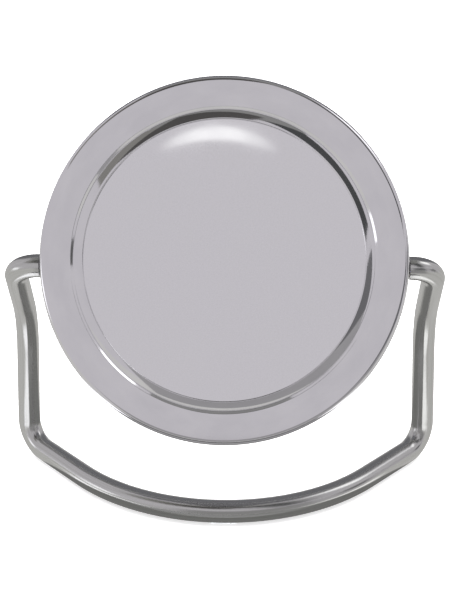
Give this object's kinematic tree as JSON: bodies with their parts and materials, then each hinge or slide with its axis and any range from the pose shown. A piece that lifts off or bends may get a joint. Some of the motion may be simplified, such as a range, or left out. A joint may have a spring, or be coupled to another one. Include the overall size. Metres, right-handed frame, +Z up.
{
  "type": "shaving mirror",
  "caption": "Free-standing round two-sided shaving mirror whose head turns on side pivots in a stand bent from one steel tube.",
  "frame": {"origin": "on the table, at the bottom centre of the object's bounding box, almost under the middle of the pivot line", "axes": "+Z up, +X along the pivot line to the user's right, the user in front of the magnifying face at -Y"},
  "size_m": [0.21, 0.0922, 0.2016],
  "materials": {
    "tube_steel": "satin-polished stainless tube",
    "polished_steel": "mirror-polished pressed steel",
    "mirror_glass": "silvered glass",
    "zinc_steel": "zinc-plated",
    "spring_steel": "oiled spring steel",
    "nylon": "natural nylon",
    "core_plastic": "moulded, matt",
    "foam": "closed-cell foam",
    "clear_pad": "clear soft silicone"
  },
  "bodies": {
    "stand": {"stand_tube": "tube_steel", "front_foot_pad": "clear_pad", "left_foot_pad": "clear_pad", "right_foot_pad": "clear_pad", "left_tube_plug": "zinc_steel", "right_tube_plug": "zinc_steel", "left_pivot_screw": "zinc_steel", "right_pivot_screw": "zinc_steel"},
    "head": {"rim_band": "polished_steel", "front_bezel": "polished_steel", "rear_bezel": "polished_steel", "magnifying_glass": "mirror_glass", "plain_glass": "mirror_glass", "front_gasket": "foam", "rear_gasket": "foam", "core": "core_plastic", "left_pivot_block": "zinc_steel", "right_pivot_block": "zinc_steel", "left_pivot_bush": "nylon", "right_pivot_bush": "nylon", "left_wave_washer": "spring_steel", "right_wave_washer": "spring_steel"}
  },
  "joints": [
    {"name": "head_turn", "type": "hinge", "parent": "stand", "child": "head", "pos_m": [0, -0.00141, 0.121], "axis": [1, 0, 0], "continuous": true}
  ]
}
